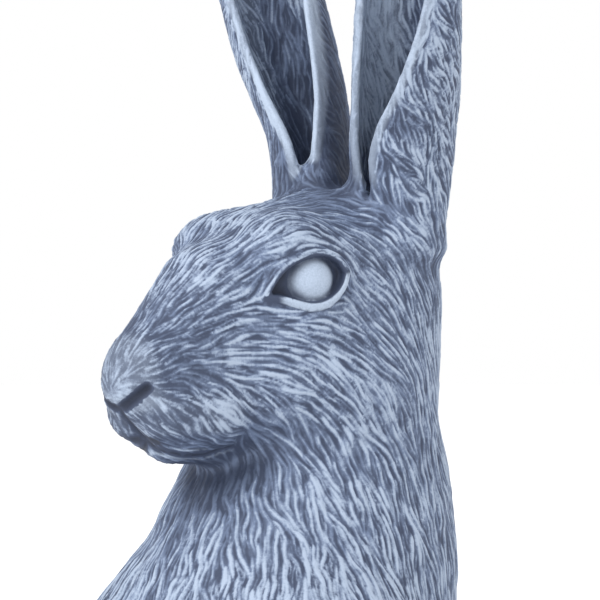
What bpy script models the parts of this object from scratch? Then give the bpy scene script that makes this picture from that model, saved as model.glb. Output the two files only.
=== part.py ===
"""A cast resin bust of a rabbit with tall upright ears, cut flat below the chest.

The rabbit looks along -Y and stands on z = 0. The form is a smooth blend of round masses, as a
sculptor builds up clay: Blender's primitives give the rough shape, a voxel remesh joins them, and
every point is then drawn onto the blended surface that form() describes.
"""

import math

import bmesh
import bpy
import numpy as np
from mathutils import Matrix

# Driving sizes, in metres
HEAD_LENGTH = 0.0850      # from the nose to the nape
EAR_LENGTH = 0.0800       # from the root to the tip, along the ear
EAR_WIDTH = 0.0216        # across the widest part of an ear
EAR_WALL = 0.0025         # thickness of an ear's wall
LID_WIDTH = 0.0020        # breadth of the eyelids' rolled edges
LOCK_HEIGHT = 0.0005      # how far the locks of fur stand out
LOCK_PITCH = 0.0072       # from one lock of the neck to the next, across the flow
LOCK_LENGTH = 0.0175      # from one row of locks to the next, down the flow
BASE_ROUNDING = 0.0012    # radius of the cut edge at the foot
MIDDLE_AHEAD = 0.0059     # how far the middle of the whole length is ahead of the carving's zero

# The sculptor's unit: places and radii of the carving are written in it, as shares of the head
UNIT = HEAD_LENGTH / 85

# How finely the form is worked
ROUGH_VOXEL = 0.0012
FINE_VOXEL = 0.0008
FACE_COUNT = 10800
SETTLE_ROUNDS = 3
ROUGH_REACH, FINE_REACH = 0.0020, 0.0004
PROBE = 0.00005

RESIN_COLOUR = (0.27, 0.33, 0.44, 1.0)

# The neck and chest, as sections from the foot up: height, middle in Y, half width, half depth
TRUNK = (
    (-4.0, -2.2, 31.5, 35.2),
    (0.0, -1.8, 31.8, 35.4),
    (10.0, 0.0, 31.2, 35.0),
    (16.0, 1.6, 29.8, 34.4),
    (22.0, 3.4, 28.3, 32.7),
    (28.0, 5.2, 26.3, 31.5),
    (37.0, 7.5, 23.3, 28.4),
    (47.0, 10.5, 21.3, 23.0),
    (60.0, 13.0, 20.5, 21.5),
    (74.0, 13.8, 19.6, 21.2),
    (84.0, 14.4, 17.4, 18.2),
    (92.0, 15.0, 11.0, 12.0),
)

LOCKS_HALF_WIDTH = 23.3   # of the trunk, where the locks stand at their pitch

# Round masses: name, centre, radii, turn about X in degrees, and how widely it blends in.
# A mass off the middle stands on both sides.
MASSES = (
    ("braincase", (0.0, 1.5, 69.5), (17.6, 24.0, 18.6), 0, 6.0),
    ("crown", (0.0, -3.0, 78.6), (16.5, 16.0, 9.4), 0, 7.0),
    ("brow", (10.2, -12.0, 80.4), (6.4, 8.6, 6.0), 10, 6.0),
    ("cheek", (8.5, -5.0, 55.0), (11.0, 19.5, 14.0), 14, 7.0),
    ("jowl", (9.0, 6.0, 50.0), (12.0, 16.0, 13.0), 0, 8.0),
    ("lip_pad", (4.4, -35.0, 48.8), (6.2, 8.6, 6.0), 18, 2.4),
    ("lip_back", (6.6, -27.5, 48.4), (6.4, 9.0, 6.6), 10, 4.0),
    ("nose_pad", (0.0, -43.5, 52.7), (5.2, 4.8, 5.5), 24, 3.2),
    ("shoulder", (19.0, -13.0, 0.0), (17.5, 20.0, 17.0), 0, 9.0),
)

# Tapering limbs of the head: name, first end, its radius, second end, its radius, blend
LIMBS = (
    ("muzzle", (0.0, -10.0, 65.0), 16.2, (0.0, -36.0, 54.0), 9.4, 6.0),
    ("bridge", (0.0, -22.0, 69.2), 12.0, (0.0, -38.0, 57.4), 8.2, 5.0),
    ("jaw", (0.0, -7.0, 49.0), 12.5, (0.0, -33.2, 43.3), 5.2, 4.0),
)

# Eyes: middle of the left eye, where it looks, and the opening between the lids
EYE_MIDDLE = (17.2, -12.0, 73.1)
EYE_AZIMUTH, EYE_ELEVATION = 71.0, -1.0
EYE_SLANT = 15.0
EYE_HALF_LENGTH = 8.8
EYE_ROUNDNESS = 60.0
# Height of each lid over the line from corner to corner: from the rear corner, -1, to the front, 1
UPPER_LID = ((-1.0, 0.0), (-0.9, 2.1), (-0.7, 4.0), (-0.4, 5.1), (-0.1, 5.3), (0.2, 4.9), (0.5, 3.9),
             (0.8, 1.9), (1.0, 0.0))
LOWER_LID = ((-1.0, 0.0), (-0.9, 1.5), (-0.72, 2.9), (-0.45, 4.0), (-0.2, 4.3), (0.1, 3.8),
             (0.35, 2.6), (0.65, 1.1), (1.0, 0.0))
LID_CREST, LID_POINTS = 0.3, 20
SOCKET_DEPTH = 1.6
EYE_REACH = 15.0
EYEBALL_RADIUS, EYEBALL_PROUD, EYEBALL_BACK, EYEBALL_UP = 5.7, 0.9, 1.5, 0.4

# Grooves on the left half of the face: name, points along it, radius
GROOVES = (
    ("nostril", ((1.2, -47.2, 49.0), (4.3, -46.7, 51.0), (6.1, -45.4, 52.8)), 0.8),
    ("philtrum", ((0.0, -47.5, 49.0), (0.0, -45.4, 47.0), (0.0, -42.8, 45.0), (0.0, -40.2, 43.0)), 0.4),
    ("lip_notch", ((0.0, -41.0, 42.4), (3.2, -40.4, 42.2)), 0.8),
    ("mouth", ((0.0, -40.0, 42.5), (1.4, -38.7, 41.3), (4.4, -36.4, 40.2), (4.9, -32.8, 39.7),
               (5.2, -29.4, 39.8), (7.5, -24.2, 41.3)), 0.35),
)

# Ears: where the left one is rooted, and curves up an ear by share of its length
EAR_ROOT = (12.4, 19.0, 85.0)
EAR_FOOT = -4.0
EAR_PLUG_TOP = {+1: 4.0, -1: 10.5}
EAR_KNOB, EAR_KNOB_RADII, EAR_KNOB_BLEND = (-4.9, 13.3, 94.2), (3.9, 3.9, 4.6), 2.2
EAR_BLEND = 5.0
EAR_RIM_SHARE, EAR_RIM_REACH = 0.6, 4.5
EAR_LEAN_OUT = ((0.0, 0.0), (0.16, 0.1), (0.23, 0.8), (0.32, 2.5), (0.43, 4.5), (0.56, 6.6),
                (0.8, 9.8), (1.0, 11.6))
EAR_LEAN_AHEAD = ((0.0, 0.0), (0.16, 0.0), (0.3, 1.2), (0.43, 3.1), (0.56, 4.8), (0.8, 7.0),
                  (1.0, 7.6))
# Shares of half the ear's width
EAR_BREADTH = ((0.0, 0.77), (0.16, 0.77), (0.23, 0.79), (0.32, 0.9), (0.43, 0.98), (0.56, 1.0),
               (0.68, 0.97), (0.8, 0.79), (0.9, 0.53), (0.96, 0.33), (1.0, 0.15))
EAR_DEPTH = ((0.0, 0.9), (0.08, 1.06), (0.16, 1.18), (0.3, 1.2), (0.45, 1.1), (0.6, 0.92),
             (0.8, 0.62), (0.92, 0.34), (1.0, 0.13))
# Half the angle of the open front, and how far the opening faces round from straight ahead
EAR_OPENING = ((0.0, 14.0), (0.09, 16.0), (0.16, 18.0), (0.24, 28.0), (0.31, 37.0), (0.44, 46.0),
               (0.56, 52.0), (0.8, 74.0), (1.0, 100.0))
EAR_TURNS = {+1: ((0.0, 3.0), (0.3, 4.0), (0.44, 12.0), (0.56, 17.0), (1.0, 26.0)),
             -1: ((0.0, 36.0), (0.3, 36.0), (0.56, 38.0), (1.0, 45.0))}
EAR_WALL_SHARE = ((0.0, 1.15), (0.5, 1.0), (1.0, 0.6))


# Heights past which the body's masses, or the ears, are too far off to matter
BODY_TOP, EARS_BOTTOM = 112.0, 66.0


def blend_min(first, second, width):
    """The nearer of two surfaces, rounded together where they meet."""
    near = np.maximum(width - np.abs(first - second), 0.0) / width
    return np.minimum(first, second) - near * near * width / 4


def blend_max(first, second, width):
    """What both surfaces hold, with the edge between them rounded."""
    return -blend_min(-first, -second, width)


def curve_through(pairs, at):
    """A smooth curve through (place, value) pairs, read at the given places."""
    places, values = (np.array(column, float) for column in zip(*pairs))
    slopes = np.gradient(values, places)
    at = np.clip(at, places[0], places[-1])
    piece = np.clip(np.searchsorted(places, at) - 1, 0, len(places) - 2)
    span = places[piece + 1] - places[piece]
    s = (at - places[piece]) / span
    return ((1 + 2 * s) * (1 - s) ** 2 * values[piece]
            + s * (1 - s) ** 2 * span * slopes[piece]
            + s * s * (3 - 2 * s) * values[piece + 1]
            + s * s * (s - 1) * span * slopes[piece + 1])


def ball(p, centre, radii, turn=0.0):
    """Distance to an egg-shaped mass, turned nose down about X."""
    q = p - np.array(centre)
    c, s = math.cos(math.radians(turn)), math.sin(math.radians(turn))
    q = np.stack([q[:, 0], q[:, 1] * c + q[:, 2] * s, q[:, 2] * c - q[:, 1] * s], axis=1)
    scaled = np.linalg.norm(q / radii, axis=1)
    steep = np.linalg.norm(q / np.square(radii), axis=1)
    return scaled * (scaled - 1) / np.maximum(steep, 1e-9)


def limb(p, first, first_radius, second, second_radius):
    """Distance to a bar with round ends whose radius runs evenly from one end to the other."""
    first, second = np.array(first), np.array(second)
    along = second - first
    share = np.clip((p - first) @ along / (along @ along), 0, 1)
    away = np.linalg.norm(p - first - share[:, None] * along, axis=1)
    return away - first_radius - share * (second_radius - first_radius)


def path(p, points, radius):
    """Distance to a round cord laid through the points."""
    return np.min([limb(p, a, radius, b, radius) for a, b in zip(points, points[1:])], axis=0)


def trunk_section(z):
    """The trunk's middle in Y, half width and half depth at a height."""
    heights = [row[0] for row in TRUNK]
    return [curve_through(list(zip(heights, [row[k] for row in TRUNK])), z) for k in (1, 2, 3)]


def trunk(p):
    """Distance to the neck and chest, an oval column whose section changes with height."""
    middle, half_width, half_depth = trunk_section(p[:, 2])
    across, deep = p[:, 0] / half_width, (p[:, 1] - middle) / half_depth
    side = (np.hypot(across, deep) - 1) * np.minimum(half_width, half_depth)
    return blend_max(side, p[:, 2] - TRUNK[-1][0], 6.0)


def eye_axes():
    """Ahead, up and outward at the left eye."""
    azimuth, elevation = math.radians(EYE_AZIMUTH), math.radians(EYE_ELEVATION)
    outward = np.array([math.sin(azimuth) * math.cos(elevation),
                        -math.cos(azimuth) * math.cos(elevation), math.sin(elevation)])
    level = np.cross(outward, (0.0, 0.0, 1.0))
    level /= np.linalg.norm(level)
    level = -level if level[1] > 0 else level
    upright = np.cross(level, outward)
    upright = -upright if upright[2] < 0 else upright
    slant = math.radians(EYE_SLANT)
    ahead = level * math.cos(slant) - upright * math.sin(slant)
    up = upright * math.cos(slant) + level * math.sin(slant)
    return ahead, up, outward


def lid_outline():
    """The opening between the lids, ahead and up from the eye's middle, round from the rear corner."""
    shares = -np.cos(np.linspace(0, math.pi, LID_POINTS))
    upper = np.stack([shares * EYE_HALF_LENGTH, curve_through(UPPER_LID, shares)], 1)
    lower = np.stack([shares * EYE_HALF_LENGTH, -curve_through(LOWER_LID, shares)], 1)
    return np.concatenate([upper[:-1], lower[:0:-1]])


def outside(outline, flat):
    """How far each flat point is outside a closed outline: negative within it."""
    first, second = outline, np.roll(outline, -1, axis=0)
    run = second - first
    gap = flat[:, None] - first
    share = np.clip((gap * run).sum(2) / (run * run).sum(1), 0, 1)
    away = np.linalg.norm(gap - share[:, :, None] * run, axis=2).min(1)
    above = (first[:, 1] > flat[:, 1:]) != (second[:, 1] > flat[:, 1:])
    crossing = first[:, 0] + gap[:, :, 1] * run[:, 0] / np.where(run[:, 1] == 0, 1, run[:, 1])
    within = (above & (flat[:, :1] < crossing)).sum(1) % 2 == 1
    return np.where(within, -away, away)


def eye_place(p):
    """Where a point is at the left eye: ahead, up, how proud of the face, and how far outside the lids."""
    ahead, up, outward = eye_axes()
    q = p - np.array(EYE_MIDDLE)
    along, height = q @ ahead, q @ up
    proud = q @ outward + (along * along + height * height) / EYE_ROUNDNESS
    rim = np.full(len(p), EYE_REACH)
    near = np.linalg.norm(q, axis=1) < EYE_REACH
    rim[near] = outside(lid_outline(), np.stack([along[near], height[near]], 1))
    return along, height, proud, rim


def eyeball_middle():
    ahead, up, outward = eye_axes()
    return (np.array(EYE_MIDDLE) + outward * (EYEBALL_PROUD - EYEBALL_RADIUS)
            - ahead * EYEBALL_BACK + up * EYEBALL_UP)


def carve_eye(p, head):
    """The head with its socket cut, the eyeball set in it and the two lids rolled round it."""
    _, _, proud, rim = eye_place(p)
    lid = np.hypot(rim - LID_CREST, proud - 0.2) - LID_WIDTH / UNIT / 2
    head = blend_min(head, lid, 1.2)
    socket = np.maximum(rim + 0.3, np.abs(proud) - SOCKET_DEPTH)
    head = blend_max(head, -socket, 0.6)
    return blend_min(head, ball(p, eyeball_middle(), (EYEBALL_RADIUS,) * 3), 0.3)


def ear_frame(share, side):
    """The middle of an ear at a share of its length, its half width, half depth and turn."""
    half = EAR_WIDTH / UNIT / 2
    middle_x = side * (EAR_ROOT[0] + curve_through(EAR_LEAN_OUT, share))
    middle_y = EAR_ROOT[1] - curve_through(EAR_LEAN_AHEAD, share)
    wall = EAR_WALL / UNIT * curve_through(EAR_WALL_SHARE, share)
    width = np.maximum(curve_through(EAR_BREADTH, share) * half - wall / 2, 0.5)
    depth = np.maximum(curve_through(EAR_DEPTH, share) * half - wall / 2, 0.5)
    turn = np.radians(curve_through(EAR_TURNS[side], share))
    opening = np.radians(curve_through(EAR_OPENING, share))
    return middle_x, middle_y, width, depth, turn, opening, wall


def ear(p, side):
    """Distance to one ear: a wall rolled round its own axis and open in front."""
    length = EAR_LENGTH / UNIT
    height = p[:, 2] - EAR_ROOT[2]
    share = np.clip(height / length, 0, 1)
    middle_x, middle_y, width, depth, turn, opening, wall = ear_frame(share, side)
    x, y = p[:, 0] - middle_x, p[:, 1] - middle_y
    ahead = x * np.sin(turn) - y * np.cos(turn)
    aside = np.abs(x * np.cos(turn) + y * np.sin(turn))
    reach = np.hypot(ahead / depth, aside / width)
    steep = np.hypot(ahead / depth ** 2, aside / width ** 2)
    outward = (reach - 1) * reach / np.maximum(steep, 1e-9)
    c, s = np.cos(opening), np.sin(opening)
    on_ahead, on_aside = ahead - depth * c, aside - width * s
    on_wall = on_aside * width * c - on_ahead * depth * s > 0
    from_rim = np.hypot(on_ahead, on_aside)
    flat = np.where(on_wall, np.abs(outward), from_rim)
    beyond = np.maximum(height - length, 0) + np.maximum(EAR_FOOT - height, 0)
    thin = (1 - EAR_RIM_SHARE) * np.exp(-(from_rim / EAR_RIM_REACH) ** 2)
    sheet = np.hypot(flat, beyond) - wall / 2 * (1 - thin)
    plug = blend_max(outward, height - EAR_PLUG_TOP[side], 3.0)
    plug = blend_max(plug, EAR_FOOT - height, 6.0)
    return blend_min(sheet, plug, 1.5)


def locks(p):
    """Height of the fur's locks on the neck and chest: rows of teardrops, each row half a lock aside."""
    middle, half_width, half_depth = trunk_section(p[:, 2])
    round_angle = np.arctan2(p[:, 0] / half_width, (middle - p[:, 1]) / half_depth)
    columns = round(math.tau * LOCKS_HALF_WIDTH * UNIT / LOCK_PITCH)
    relief = np.zeros(len(p))
    for layer in (0.0, 0.5):
        place = round_angle / math.tau * columns + layer
        column = np.floor(place)
        stagger = 0.25 * np.sin(column * 2.4 + layer * 5)
        down = -p[:, 2] * UNIT / LOCK_LENGTH + layer + stagger
        along = down - np.floor(down)
        sway = 0.22 * np.sin(p[:, 2] / 6.0 + 2 * round_angle)
        aside = np.abs(place - column - 0.5 + sway * along) * 2
        breadth = 1.0 - 0.75 * along ** 2
        rise = np.minimum(along / 0.75, (1 - along) / 0.25)
        relief = np.maximum(relief, np.maximum(1 - (aside / breadth) ** 2, 0) * rise)
    fade = np.clip((62 - p[:, 2]) / 22, 0, 1) * np.clip((p[:, 2] - 1) / 4, 0, 1)
    return relief * fade * LOCK_HEIGHT / UNIT


def head_and_chest(p):
    """Distance to everything but the ears and the eyes."""
    mirrored = np.stack([np.sqrt(p[:, 0] ** 2 + 0.04), p[:, 1], p[:, 2]], axis=1)
    body = trunk(p)
    for _, centre, radii, turn, width in MASSES:
        body = blend_min(body, ball(mirrored if centre[0] else p, centre, radii, turn), width)
    for _, first, first_radius, second, second_radius, width in LIMBS:
        body = blend_min(body, limb(p, first, first_radius, second, second_radius), width)
    for _, points_along, radius in GROOVES:
        body = blend_max(body, -path(mirrored, points_along, radius), 0.9)
    near_eye = np.linalg.norm(mirrored - EYE_MIDDLE, axis=1) < EYE_REACH
    body[near_eye] = carve_eye(mirrored[near_eye], body[near_eye])
    return body - locks(p)


def form(points):
    """Distance to the bust's surface at each point, in metres: negative inside."""
    p = (points - (0.0, MIDDLE_AHEAD, 0.0)) / UNIT
    body = np.full(len(p), 60.0)
    low, high = p[:, 2] < BODY_TOP, p[:, 2] > EARS_BOTTOM
    body[low] = head_and_chest(p[low])
    raised = body[high]
    for side in EAR_TURNS:
        raised = blend_min(raised, ear(p[high], side), EAR_BLEND)
    body[high] = blend_min(raised, ball(p[high], EAR_KNOB, EAR_KNOB_RADII), EAR_KNOB_BLEND)
    rounding = BASE_ROUNDING / UNIT
    sunk = np.clip(rounding - p[:, 2], 0, rounding)
    return (body + rounding - np.sqrt(rounding ** 2 - sunk ** 2)) * UNIT


def settle(mesh, farthest):
    """Draws every vertex of a mesh onto the form, by no more than the farthest way at a time."""
    points = np.empty(len(mesh.vertices) * 3, np.float32)
    mesh.vertices.foreach_get("co", points)
    points = points.reshape(-1, 3).astype(float)
    for _ in range(SETTLE_ROUNDS):
        value = form(points)
        slope = np.stack([(form(points + step) - value) / PROBE for step in np.eye(3) * PROBE], 1)
        steep = np.maximum((slope * slope).sum(1), 0.2)
        move = -(value / steep)[:, None] * slope
        reach = np.linalg.norm(move, axis=1, keepdims=True)
        points += move * np.minimum(1, farthest / np.maximum(reach, 1e-9))
    mesh.vertices.foreach_set("co", points.astype(np.float32).ravel())
    mesh.update()


def add_ball(bm, centre, radii, turn=0.0):
    """One round mass as a sphere, at its place and size."""
    made = bmesh.ops.create_uvsphere(bm, u_segments=28, v_segments=18, radius=1.0)
    c, s = math.cos(math.radians(turn)), math.sin(math.radians(turn))
    for vertex in made["verts"]:
        x, y, z = (vertex.co[k] * radii[k] for k in range(3))
        vertex.co = ((centre[0] + x) * UNIT, (centre[1] + y * c - z * s) * UNIT,
                     (centre[2] + z * c + y * s) * UNIT)


def add_trunk(bm):
    """The neck and chest as a stack of short oval cylinders."""
    rows = 24
    low, high = TRUNK[0][0], TRUNK[-1][0]
    thick = (high - low) / rows
    for step in range(rows):
        z = low + thick * (step + 0.5)
        middle, half_width, half_depth = trunk_section(z)
        made = bmesh.ops.create_cone(bm, cap_ends=True, segments=40, radius1=1, radius2=1,
                                     depth=thick * 1.4)
        for vertex in made["verts"]:
            x, y, dz = vertex.co
            vertex.co = (x * half_width * UNIT, (middle + y * half_depth) * UNIT, (z + dz) * UNIT)


def ear_sheet(side):
    """One ear's wall as a grid rolled round the ear's axis, for a Solidify modifier to thicken."""
    bm = bmesh.new()
    bmesh.ops.create_grid(bm, x_segments=32, y_segments=60, size=1.0)
    length = EAR_LENGTH / UNIT
    for vertex in bm.verts:
        share = (vertex.co.y + 1) / 2
        middle_x, middle_y, width, depth, turn, opening, _ = ear_frame(share, side)
        angle = math.pi + (math.pi - opening) * vertex.co.x
        ahead, aside = depth * math.cos(angle), width * math.sin(angle)
        x = middle_x + ahead * math.sin(turn) + aside * math.cos(turn)
        y = middle_y - ahead * math.cos(turn) + aside * math.sin(turn)
        vertex.co = (x * UNIT, y * UNIT, (EAR_ROOT[2] + length * share) * UNIT)
    mesh = bpy.data.meshes.new("ear_sheet")
    bm.to_mesh(mesh)
    bm.free()
    return mesh


def with_modifiers(mesh, collection, *settings):
    """The mesh after the given modifiers, as a plain mesh."""
    helper = bpy.data.objects.new("helper", mesh)
    collection.objects.link(helper)
    for kind, values in settings:
        modifier = helper.modifiers.new(kind.lower(), kind)
        for name, value in values.items():
            setattr(modifier, name, value)
    graph = bpy.context.evaluated_depsgraph_get()
    made = bpy.data.meshes.new_from_object(helper.evaluated_get(graph))
    bpy.data.objects.remove(helper)
    return made


def rough_form(collection):
    """The masses, limbs, trunk and ears joined into one skin by a voxel remesh."""
    bm = bmesh.new()
    add_trunk(bm)
    for _, centre, radii, turn, _ in MASSES:
        for side in ((1, -1) if centre[0] else (1,)):
            add_ball(bm, (centre[0] * side, centre[1], centre[2]), radii, turn)
    for _, first, first_radius, second, second_radius, _ in LIMBS:
        for share in np.linspace(0, 1, 9):
            middle = np.array(first) * (1 - share) + np.array(second) * share
            add_ball(bm, middle, (first_radius + (second_radius - first_radius) * share,) * 3)
    add_ball(bm, EAR_KNOB, EAR_KNOB_RADII)
    for side in EAR_TURNS:
        for height in np.linspace(EAR_FOOT, EAR_PLUG_TOP[side] - 5, 5):
            x, y = ear_frame(max(height, 0) * UNIT / EAR_LENGTH, side)[:2]
            add_ball(bm, (float(x), float(y), EAR_ROOT[2] + height), (7.6, 8.4, 7.0))
        sheet = with_modifiers(ear_sheet(side), collection,
                               ("SOLIDIFY", {"thickness": EAR_WALL, "offset": 0.0}))
        bm.from_mesh(sheet)
    mesh = bpy.data.meshes.new("rough")
    bm.to_mesh(mesh)
    bm.free()
    mesh.transform(Matrix.Translation((0.0, MIDDLE_AHEAD, 0.0)))
    return with_modifiers(mesh, collection, ("REMESH", {"mode": "VOXEL", "voxel_size": ROUGH_VOXEL}))


def cut_flat(mesh):
    """Cuts the bust flat at z = 0 and closes the cut with one face."""
    bm = bmesh.new()
    bm.from_mesh(mesh)
    everything = bm.verts[:] + bm.edges[:] + bm.faces[:]
    bmesh.ops.bisect_plane(bm, geom=everything, dist=1e-7, plane_co=(0, 0, 0), plane_no=(0, 0, 1),
                           clear_inner=True)
    rim = [edge for edge in bm.edges if edge.is_boundary]
    bmesh.ops.contextual_create(bm, geom=rim)
    bmesh.ops.recalc_face_normals(bm, faces=bm.faces)
    bm.to_mesh(mesh)
    bm.free()


def resin_material():
    material = bpy.data.materials.new("washed_resin")
    material.use_nodes = True
    shader = material.node_tree.nodes["Principled BSDF"]
    shader.inputs["Base Color"].default_value = RESIN_COLOUR
    shader.inputs["Roughness"].default_value = 0.62
    shader.inputs["Metallic"].default_value = 0.0
    return material


def build():
    for leftover in list(bpy.data.objects):
        bpy.data.objects.remove(leftover)
    collection = bpy.data.collections.new("rabbit_bust")
    bpy.context.scene.collection.children.link(collection)
    ease = ("SMOOTH", {"factor": 0.5, "iterations": 3})
    fine = ("REMESH", {"mode": "VOXEL", "voxel_size": FINE_VOXEL})
    mesh = rough_form(collection)
    settle(mesh, ROUGH_REACH)
    mesh = with_modifiers(mesh, collection, ease, fine, ease)
    settle(mesh, FINE_REACH)
    mesh = with_modifiers(mesh, collection, fine, ("SMOOTH", {"factor": 0.5, "iterations": 2}))
    triangles = sum(len(face.vertices) - 2 for face in mesh.polygons)
    mesh = with_modifiers(mesh, collection, ("DECIMATE", {"ratio": FACE_COUNT / triangles}))
    cut_flat(mesh)
    mesh.name = "rabbit"
    mesh.shade_smooth()
    mesh.materials.append(resin_material())
    rabbit = bpy.data.objects.new("rabbit", mesh)
    collection.objects.link(rabbit)
    return rabbit


build()
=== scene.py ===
"""A cast resin rabbit bust with carved fur, washed dark blue and dry-brushed pale."""

import math
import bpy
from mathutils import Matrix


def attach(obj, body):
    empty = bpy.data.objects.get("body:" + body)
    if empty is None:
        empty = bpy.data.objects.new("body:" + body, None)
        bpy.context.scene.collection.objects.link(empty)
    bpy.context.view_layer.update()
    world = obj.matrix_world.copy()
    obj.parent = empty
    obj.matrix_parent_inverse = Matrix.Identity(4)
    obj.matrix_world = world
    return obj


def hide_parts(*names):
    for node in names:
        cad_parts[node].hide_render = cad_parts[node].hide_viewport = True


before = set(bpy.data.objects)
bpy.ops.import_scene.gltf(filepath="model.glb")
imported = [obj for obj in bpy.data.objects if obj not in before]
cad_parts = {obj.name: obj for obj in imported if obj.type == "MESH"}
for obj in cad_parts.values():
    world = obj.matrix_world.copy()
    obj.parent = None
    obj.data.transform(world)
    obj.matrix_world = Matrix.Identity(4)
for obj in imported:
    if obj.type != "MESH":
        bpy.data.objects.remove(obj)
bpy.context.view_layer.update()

import bpy
import numpy as np
from bpy.props import FloatProperty, FloatVectorProperty, IntProperty, PointerProperty
from mathutils import Vector
from mathutils.kdtree import KDTree

bl_info = {
    "name": "Resin Rabbit",
    "version": (1, 0, 0),
    "blender": (4, 5, 0),
    "location": "View3D > Sidebar > Rabbit",
    "description": "Carves and paints a cast resin rabbit bust",
    "category": "Object",
}

# Sizes of the carved form, as in the solid. Places and radii of the carving are in UNITs.
HEAD_LENGTH = 0.0850
EAR_LENGTH = 0.0800
EAR_WIDTH = 0.0216
EAR_WALL = 0.0025
LID_WIDTH = 0.0020
LOCK_HEIGHT = 0.0005
LOCK_PITCH = 0.0072
LOCK_LENGTH = 0.0175
BASE_ROUNDING = 0.0012
MIDDLE_AHEAD = 0.0059
UNIT = HEAD_LENGTH / 85
PROBE = 0.00005

# The neck and chest, as sections from the foot up: height, middle in Y, half width, half depth
TRUNK = (
    (-4.0, -2.2, 31.5, 35.2),
    (0.0, -1.8, 31.8, 35.4),
    (10.0, 0.0, 31.2, 35.0),
    (16.0, 1.6, 29.8, 34.4),
    (22.0, 3.4, 28.3, 32.7),
    (28.0, 5.2, 26.3, 31.5),
    (37.0, 7.5, 23.3, 28.4),
    (47.0, 10.5, 21.3, 23.0),
    (60.0, 13.0, 20.5, 21.5),
    (74.0, 13.8, 19.6, 21.2),
    (84.0, 14.4, 17.4, 18.2),
    (92.0, 15.0, 11.0, 12.0),
)

LOCKS_HALF_WIDTH = 23.3   # of the trunk, where the locks stand at their pitch

# Round masses: name, centre, radii, turn about X in degrees, and how widely it blends in.
# A mass off the middle stands on both sides.
MASSES = (
    ("braincase", (0.0, 1.5, 69.5), (17.6, 24.0, 18.6), 0, 6.0),
    ("crown", (0.0, -3.0, 78.6), (16.5, 16.0, 9.4), 0, 7.0),
    ("brow", (10.2, -12.0, 80.4), (6.4, 8.6, 6.0), 10, 6.0),
    ("cheek", (8.5, -5.0, 55.0), (11.0, 19.5, 14.0), 14, 7.0),
    ("jowl", (9.0, 6.0, 50.0), (12.0, 16.0, 13.0), 0, 8.0),
    ("lip_pad", (4.4, -35.0, 48.8), (6.2, 8.6, 6.0), 18, 2.4),
    ("lip_back", (6.6, -27.5, 48.4), (6.4, 9.0, 6.6), 10, 4.0),
    ("nose_pad", (0.0, -43.5, 52.7), (5.2, 4.8, 5.5), 24, 3.2),
    ("shoulder", (19.0, -13.0, 0.0), (17.5, 20.0, 17.0), 0, 9.0),
)

# Tapering limbs of the head: name, first end, its radius, second end, its radius, blend
LIMBS = (
    ("muzzle", (0.0, -10.0, 65.0), 16.2, (0.0, -36.0, 54.0), 9.4, 6.0),
    ("bridge", (0.0, -22.0, 69.2), 12.0, (0.0, -38.0, 57.4), 8.2, 5.0),
    ("jaw", (0.0, -7.0, 49.0), 12.5, (0.0, -33.2, 43.3), 5.2, 4.0),
)

# Eyes: middle of the left eye, where it looks, and the opening between the lids
EYE_MIDDLE = (17.2, -12.0, 73.1)
EYE_AZIMUTH, EYE_ELEVATION = 71.0, -1.0
EYE_SLANT = 15.0
EYE_HALF_LENGTH = 8.8
EYE_ROUNDNESS = 60.0
# Height of each lid over the line from corner to corner: from the rear corner, -1, to the front, 1
UPPER_LID = ((-1.0, 0.0), (-0.9, 2.1), (-0.7, 4.0), (-0.4, 5.1), (-0.1, 5.3), (0.2, 4.9), (0.5, 3.9),
             (0.8, 1.9), (1.0, 0.0))
LOWER_LID = ((-1.0, 0.0), (-0.9, 1.5), (-0.72, 2.9), (-0.45, 4.0), (-0.2, 4.3), (0.1, 3.8),
             (0.35, 2.6), (0.65, 1.1), (1.0, 0.0))
LID_CREST, LID_POINTS = 0.3, 20
SOCKET_DEPTH = 1.6
EYE_REACH = 15.0
EYEBALL_RADIUS, EYEBALL_PROUD, EYEBALL_BACK, EYEBALL_UP = 5.7, 0.9, 1.5, 0.4

# Grooves on the left half of the face: name, points along it, radius
GROOVES = (
    ("nostril", ((1.2, -47.2, 49.0), (4.3, -46.7, 51.0), (6.1, -45.4, 52.8)), 0.8),
    ("philtrum", ((0.0, -47.5, 49.0), (0.0, -45.4, 47.0), (0.0, -42.8, 45.0), (0.0, -40.2, 43.0)), 0.4),
    ("lip_notch", ((0.0, -41.0, 42.4), (3.2, -40.4, 42.2)), 0.8),
    ("mouth", ((0.0, -40.0, 42.5), (1.4, -38.7, 41.3), (4.4, -36.4, 40.2), (4.9, -32.8, 39.7),
               (5.2, -29.4, 39.8), (7.5, -24.2, 41.3)), 0.35),
)

# Ears: where the left one is rooted, and curves up an ear by share of its length
EAR_ROOT = (12.4, 19.0, 85.0)
EAR_FOOT = -4.0
EAR_PLUG_TOP = {+1: 4.0, -1: 10.5}
EAR_KNOB, EAR_KNOB_RADII, EAR_KNOB_BLEND = (-4.9, 13.3, 94.2), (3.9, 3.9, 4.6), 2.2
EAR_BLEND = 5.0
EAR_RIM_SHARE, EAR_RIM_REACH = 0.6, 4.5
EAR_LEAN_OUT = ((0.0, 0.0), (0.16, 0.1), (0.23, 0.8), (0.32, 2.5), (0.43, 4.5), (0.56, 6.6),
                (0.8, 9.8), (1.0, 11.6))
EAR_LEAN_AHEAD = ((0.0, 0.0), (0.16, 0.0), (0.3, 1.2), (0.43, 3.1), (0.56, 4.8), (0.8, 7.0),
                  (1.0, 7.6))
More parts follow.
